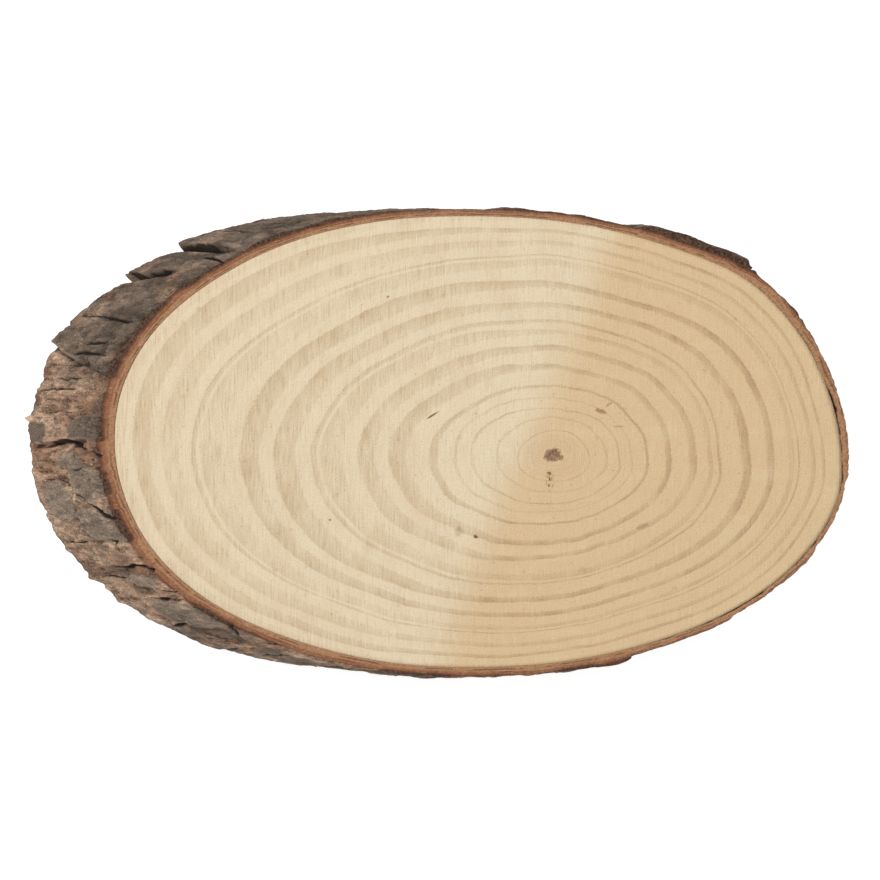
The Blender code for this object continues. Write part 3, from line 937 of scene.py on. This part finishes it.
def flakes(finish, trunk, around_mm, along_mm):
    """Ragged flakes of a size on the trunk: a random tone for each, and the distance to a joint.

    The distance is a share of the flake's size.
    """
    fine_place = finish.place((0.5 * around_mm,) * 3, trunk)
    bend = finish.node("ShaderNodeTexNoise", {}, {"Vector": fine_place}, "Color")
    place = finish.place((around_mm, around_mm, along_mm), trunk)
    place = finish.node("ShaderNodeVectorMath", {"operation": "ADD"}, {0: place, 1: bend})
    sockets = {"Vector": place, "Scale": 1.0}
    colour = finish.node("ShaderNodeTexVoronoi", {"feature": "F1"}, sockets, "Color")
    joint = finish.node("ShaderNodeTexVoronoi", {"feature": "DISTANCE_TO_EDGE"}, sockets)
    return finish.node("ShaderNodeSeparateColor", {}, {0: colour}), joint


def mark_cover(finish, rough, mark):
    """Where one of the ragged oval marks is: the distance from its middle, bent by rough noise."""
    sockets = {
        "Vector": finish.node("ShaderNodeTexCoord", {}, {}, "Object"),
        "Location": (mark.x_mm * MM, mark.y_mm * MM, THICKNESS),
        "Rotation": (0.0, 0.0, math.radians(mark.slant)),
        "Scale": (mark.length_mm * MM, mark.width_mm * MM, 1.0),
    }
    place = finish.node("ShaderNodeMapping", {"vector_type": "TEXTURE"}, sockets)
    distance = finish.node("ShaderNodeVectorMath", {"operation": "LENGTH"}, {0: place}, "Value")
    return (1.0 - finish.rise(distance + rough * (0.5 * mark.ragged), 0.45, 1.1)) * mark.strong


def sawn_wood():
    """Sawn and sanded end grain: pale on the left, warmer on the right, with dark late wood."""
    finish = Finish("sawn_wood", 0.62)
    ring = finish.attribute("ring")
    dark = finish.attribute("dark")
    broad = finish.attribute("broad")
    x, y = finish.object_axes()
    cloud = finish.noise((30, 30, 30), 3.0)
    warm = finish.rise(x - y * 0.39 + cloud * 0.004, 0.018, 0.036)
    base = finish.blend(warm, (226, 208, 176), (214, 185, 143))
    mottle = finish.noise((10, 18, 10), 4.0, 0.6)
    base = finish.blend(finish.rise(mottle, -0.4, 1.0) * 0.35, base, (209, 180, 145))
    cool = finish.noise((20, 6, 20), 3.0)
    base = finish.blend(finish.rise(cool, 0.0, 1.0) * 0.25, base, (226, 208, 172))

    coarse = finish.noise((4, 7, 4), 2.0)
    crumb = finish.noise((0.6, 0.9, 0.6), 3.0, 0.65)
    fibre = finish.noise((0.5, 7, 0.5), 3.0, 0.6)
    grown = ring + coarse * 0.03 + crumb * 0.05 + fibre * 0.02
    share = grown.fraction()
    narrow = 1.0 - finish.rise(ring, 7.5, 11.0)
    low = 0.66 + narrow * 0.18 - broad * 0.3
    plateau = finish.rise(share, low, low + 0.13) + (1.0 - finish.rise(share, 0.0, 0.07)) * 0.5
    edge = finish.rise(share, 0.84 - broad * 0.3, 1.0)
    patchy = 0.85 + finish.noise((6, 12, 6), 3.0) * 0.6
    late = dark * patchy * (plateau * (0.5 - broad * 0.16) + edge * (0.2 + broad * 0.06))
    late_colour = finish.blend(warm, (184, 155, 115), (160, 127, 87))
    wood = finish.blend(late, base, late_colour)

    streak = finish.rise(fibre, 0.0, 0.8) * (0.24 - warm * 0.13) * (0.6 + plateau * broad * 0.8)
    wood = finish.blend(streak, wood, (164, 134, 96))
    shine = finish.rise(0.0 - fibre, 0.0, 0.8) * (0.3 - warm * 0.16)
    wood = finish.blend(shine, wood, (240, 226, 196))
    grain = finish.noise((0.45, 0.45, 0.45), 2.0, 0.6)
    wood = finish.blend(finish.rise(grain, 0.0, 0.8) * 0.2, wood, (174, 142, 104))
    wood = finish.blend(finish.rise(0.0 - grain, 0.0, 0.8) * 0.2, wood, (240, 220, 184))
    dots = specks(finish, 4.6, 0.06, 0.4) + specks(finish, 1.8, 0.06, 0.26) * 0.7
    wood = finish.blend(dots * 0.85, wood, (104, 78, 54))

    rough = finish.noise((1.1, 1.1, 1.1), 3.0, 0.65)
    scars = mark_cover(finish, rough, CRUMBLED_MARK) * finish.rise(rough + crumb, 0.0, 0.5)
    for mark in MARKS:
        scars = scars.larger(mark_cover(finish, rough, mark))
    wood = finish.blend(scars, wood, (124, 80, 52))

    ripple = finish.rise(finish.node("ShaderNodeMath", {"operation": "SINE"}, {0: ring * 21.0}), -0.2, 1.0)
    young = 1.0 - finish.rise(ring, 3.2, 5.2)
    wood = finish.blend(ripple * young * 0.22, wood, (172, 138, 104))
    core = 1.0 - finish.rise(ring + rough * 0.4, 0.8, 1.2)
    upper_half = finish.rise(crumb + y * 30.0, -0.5, 0.5)
    core_colour = finish.blend(upper_half, (158, 122, 94), (100, 70, 52))
    wood = finish.blend(core * 0.9, wood, core_colour)
    finish.colour(wood)
    finish.relief(fibre * 0.3 + grain * 0.3 + crumb * 0.3 - scars, 0.00015)
    return finish.material


def weathered_bark():
    """Bark: orange-brown and granular where it is sawn, weathered grey or bared pink-brown outside."""
    finish = Finish("weathered_bark", 0.88)
    names = ("fresh", "gap_shade", "stand", "hollow", "bare", "tone", "pale", "pad", "crack")
    fresh, gap_shade, stand, hollow, bare, tone, pale, pad, crack = map(finish.attribute, names)
    trunk = finish.attribute("trunk", "Vector")
    broad = finish.noise((9, 9, 14), 4.0, 0.6, trunk)
    fine = finish.noise((1.4, 1.4, 2.6), 5.0, 0.7, trunk)
    grain = finish.noise((0.6, 0.6, 0.6), 3.0, 0.7, trunk)
    lines = finish.noise((0.7, 0.7, 6), 3.0, 0.6, trunk)
    large_tone, joint = flakes(finish, trunk, 4.2, 8.0)
    small_tone, small_joint = flakes(finish, trunk, 1.6, 3.0)

    mottle = finish.rise(broad + tone * 0.3, -0.8, 0.8)
    grey = finish.blend(mottle, (104, 88, 74), (146, 126, 108))
    grey = finish.blend(pale, grey, (178, 156, 136))
    pink = finish.blend(finish.rise(broad, -0.7, 0.7), (180, 137, 108), (217, 180, 151))
    skin = finish.blend(bare, grey, pink)
    skin = finish.blend(finish.rise(large_tone, 0.7, 0.9) * bare * 0.6, skin, (214, 184, 156))
    flaky = 0.6 + bare * 0.4 - pad * 0.1
    shade = 1.0 + ((large_tone - 0.5) * 0.5 + (small_tone - 0.5) * 0.7) * flaky
    shade = shade + fine * 0.3 + grain * 0.35 + finish.rise(grain, 0.35, 0.75) * 0.8 + lines * bare * 0.25
    seam = 1.0 - finish.rise(joint, 0.02, 0.08) * (0.5 + finish.rise(small_joint, 0.02, 0.14) * 0.5)
    shade = shade - seam * flaky * 0.35
    # Painted shade in the bark's hollows and painted highlight on its raised places, from how sunken each
    # place is
    shade = shade - finish.rise(hollow, 0.05, 0.9) * 0.5 + finish.rise(0.0 - hollow, 0.05, 0.8) * 0.5
    shade = finish.node("ShaderNodeClamp", {}, {"Value": shade, "Min": 0.15, "Max": 2.4})
    skin = finish.node("ShaderNodeVectorMath", {"operation": "SCALE"}, {0: skin, "Scale": shade})
    # Painted shade in the cracks: near black, and darker the deeper they cut
    skin = finish.blend(finish.rise(crack, 0.15, 0.8) * 0.92, skin, (44, 31, 24))

    fleck = finish.noise((0.7, 0.7, 0.7), 4.0, 0.65)
    layer = finish.noise((5, 5, 5), 3.0)
    depth = stand * (1.0 - bare * 0.32) + layer * 0.15
    sawn = finish.blend(finish.rise(depth, 0.8, 1.6), (220, 164, 120), (186, 124, 88))
    sawn = finish.blend(finish.rise(fleck, 0.05, 0.8) * 0.4, sawn, (116, 72, 45))
    sawn = finish.blend(finish.rise(0.0 - fleck, 0.05, 0.8) * 0.5, sawn, (230, 186, 148))
    inner_line = finish.rise(depth, 0.42, 0.55) - finish.rise(depth, 0.7, 0.85)
    sawn = finish.blend(inner_line * finish.rise(layer, -0.4, 0.2) * 0.6, sawn, (104, 62, 44))
    middle_line = finish.rise(depth, 1.1, 1.2) - finish.rise(depth, 1.32, 1.45)
    sawn = finish.blend(middle_line * finish.rise(broad, -0.3, 0.3) * 0.5, sawn, (114, 68, 48))
    dead = finish.blend(finish.rise(fleck, -0.6, 0.6), (132, 98, 76), (60, 41, 32))
    sawn = finish.blend(finish.rise(depth, 1.9, 2.4), sawn, dead)
    outer_line = finish.rise(depth, 1.7, 1.9) - finish.rise(depth, 2.15, 2.4)
    sawn = finish.blend(outer_line * 0.5, sawn, (92, 54, 37))
    # Painted shade: the inner wall in the gap between bark and wood is painted near black
    sawn = finish.blend(gap_shade, sawn, (58, 36, 24))
    finish.colour(finish.blend(finish.rise(fresh, 0.3, 0.9), skin, sawn))
    finish.relief(fine + grain * 0.7 + fleck * 0.3, 0.0006)
    return finish.material


def pale_floor():
    """Plain pale floor that glows a little, so that no shadow darkens it."""
    finish = Finish("pale_floor", 0.9)
    finish.colour((0.4, 0.4, 0.4, 1.0))
    finish.shader.inputs["Emission Color"].default_value = (1.0, 1.0, 1.0, 1.0)
    finish.shader.inputs["Emission Strength"].default_value = 0.8
    finish.shader.inputs["Specular IOR Level"].default_value = 0.0
    return finish.material


def make_floor():
    """A wide level floor under the slice."""
    signs = np.array([[-1, -1, 0], [1, -1, 0], [1, 1, 0], [-1, 1, 0]])
    floor = new_piece("floor", FLOOR_REACH * signs, np.array([[0, 1, 2, 3]]), pale_floor(), {})


def add_window():
    """A soft round lamp to the upper left, turned to face the slice, that brings out the relief."""
    x, y, z = WINDOW_PLACE
    light = bpy.data.lights.new("window", "AREA")
    light.shape = "DISK"
    light.size = WINDOW_SIZE
    light.energy = WINDOW_POWER
    lamp = bpy.data.objects.new("window", light)
    lamp.location = WINDOW_PLACE
    lamp.rotation_euler = (math.atan2(math.hypot(x, y), z), 0.0, math.atan2(y, x) + math.pi / 2)
    bpy.context.scene.collection.objects.link(lamp)


def light_studio():
    """Even white surroundings, and the one lamp."""
    world = bpy.data.worlds.new("white_room")
    world.use_nodes = True
    surroundings = world.node_tree.nodes["Background"].inputs
    surroundings["Color"].default_value = (1.0, 1.0, 1.0, 1.0)
    surroundings["Strength"].default_value = ROOM_STRENGTH
    bpy.context.scene.world = world
    bpy.context.scene.view_settings.view_transform = "Standard"
    add_window()


def place_camera():
    """The photograph's view: straight down from a metre above the upper face."""
    camera = bpy.data.cameras.new("camera")
    camera.sensor_width = 36.0
    camera.lens = LENS_MM
    camera.clip_start = 0.01
    holder = bpy.data.objects.new("camera", camera)
    holder.location = CAMERA_PLACE
    bpy.context.scene.collection.objects.link(holder)
    bpy.context.scene.camera = holder


def main():
    wood = make_wood_piece(sawn_wood())
    bark = make_bark_piece(weathered_bark())
    for piece, node in ((wood, "wood"), (bark, "bark")):
        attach(piece, "root")
        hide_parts(node)
    make_floor()
    light_studio()
    place_camera()


main()
